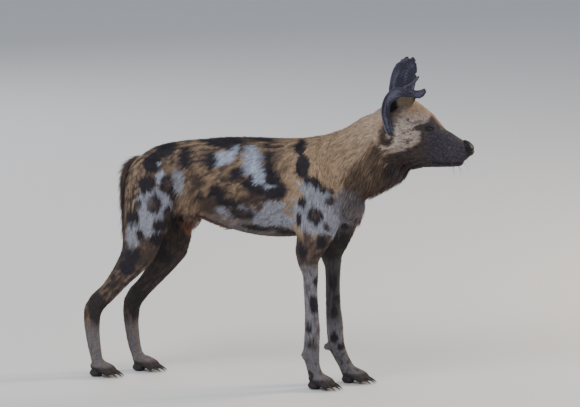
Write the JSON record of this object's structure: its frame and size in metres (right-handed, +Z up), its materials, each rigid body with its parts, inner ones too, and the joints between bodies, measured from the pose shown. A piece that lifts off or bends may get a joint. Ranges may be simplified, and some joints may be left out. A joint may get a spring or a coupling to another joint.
{
  "type": "african wild dog",
  "caption": "Standing adult African wild dog, still life-size model: blotched coat, one torn ear curled forward, hanging bushy tail.",
  "frame": {"origin": "middle of the dog's footprint box, on the floor under its soles", "axes": "+X the way the body faces, +Y the dog's left, +Z up"},
  "size_m": [1.0419, 0.2228, 0.8672],
  "materials": {
    "coat": "matte",
    "long_hair": "matte",
    "ear_skin": "satin",
    "nose_skin": "satin",
    "eye": "gloss",
    "claw": "satin"
  },
  "bodies": {
    "root": {"claw_fore_left_1": "claw", "claw_fore_left_2": "claw", "claw_fore_left_3": "claw", "claw_fore_left_4": "claw", "claw_fore_right_1": "claw", "claw_fore_right_2": "claw", "claw_fore_right_3": "claw", "claw_fore_right_4": "claw", "claw_hind_left_1": "claw", "claw_hind_left_2": "claw", "claw_hind_left_3": "claw", "claw_hind_left_4": "claw", "claw_hind_right_1": "claw", "claw_hind_right_2": "claw", "claw_hind_right_3": "claw", "claw_hind_right_4": "claw", "ear_left": "ear_skin", "ear_right": "ear_skin", "eye_left": "eye", "eye_right": "eye", "forearm_left": "coat", "forearm_right": "coat", "forefoot_left": "coat", "forefoot_right": "coat", "groin_tuft": "long_hair", "head": "coat", "hindfoot_left": "coat", "hindfoot_right": "coat", "neck": "coat", "nose": "nose_skin", "shank_left": "coat", "shank_right": "coat", "tail": "long_hair", "thigh_left": "coat", "thigh_right": "coat", "torso": "coat", "upper_arm_left": "coat", "upper_arm_right": "coat"}
  },
  "joints": []
}
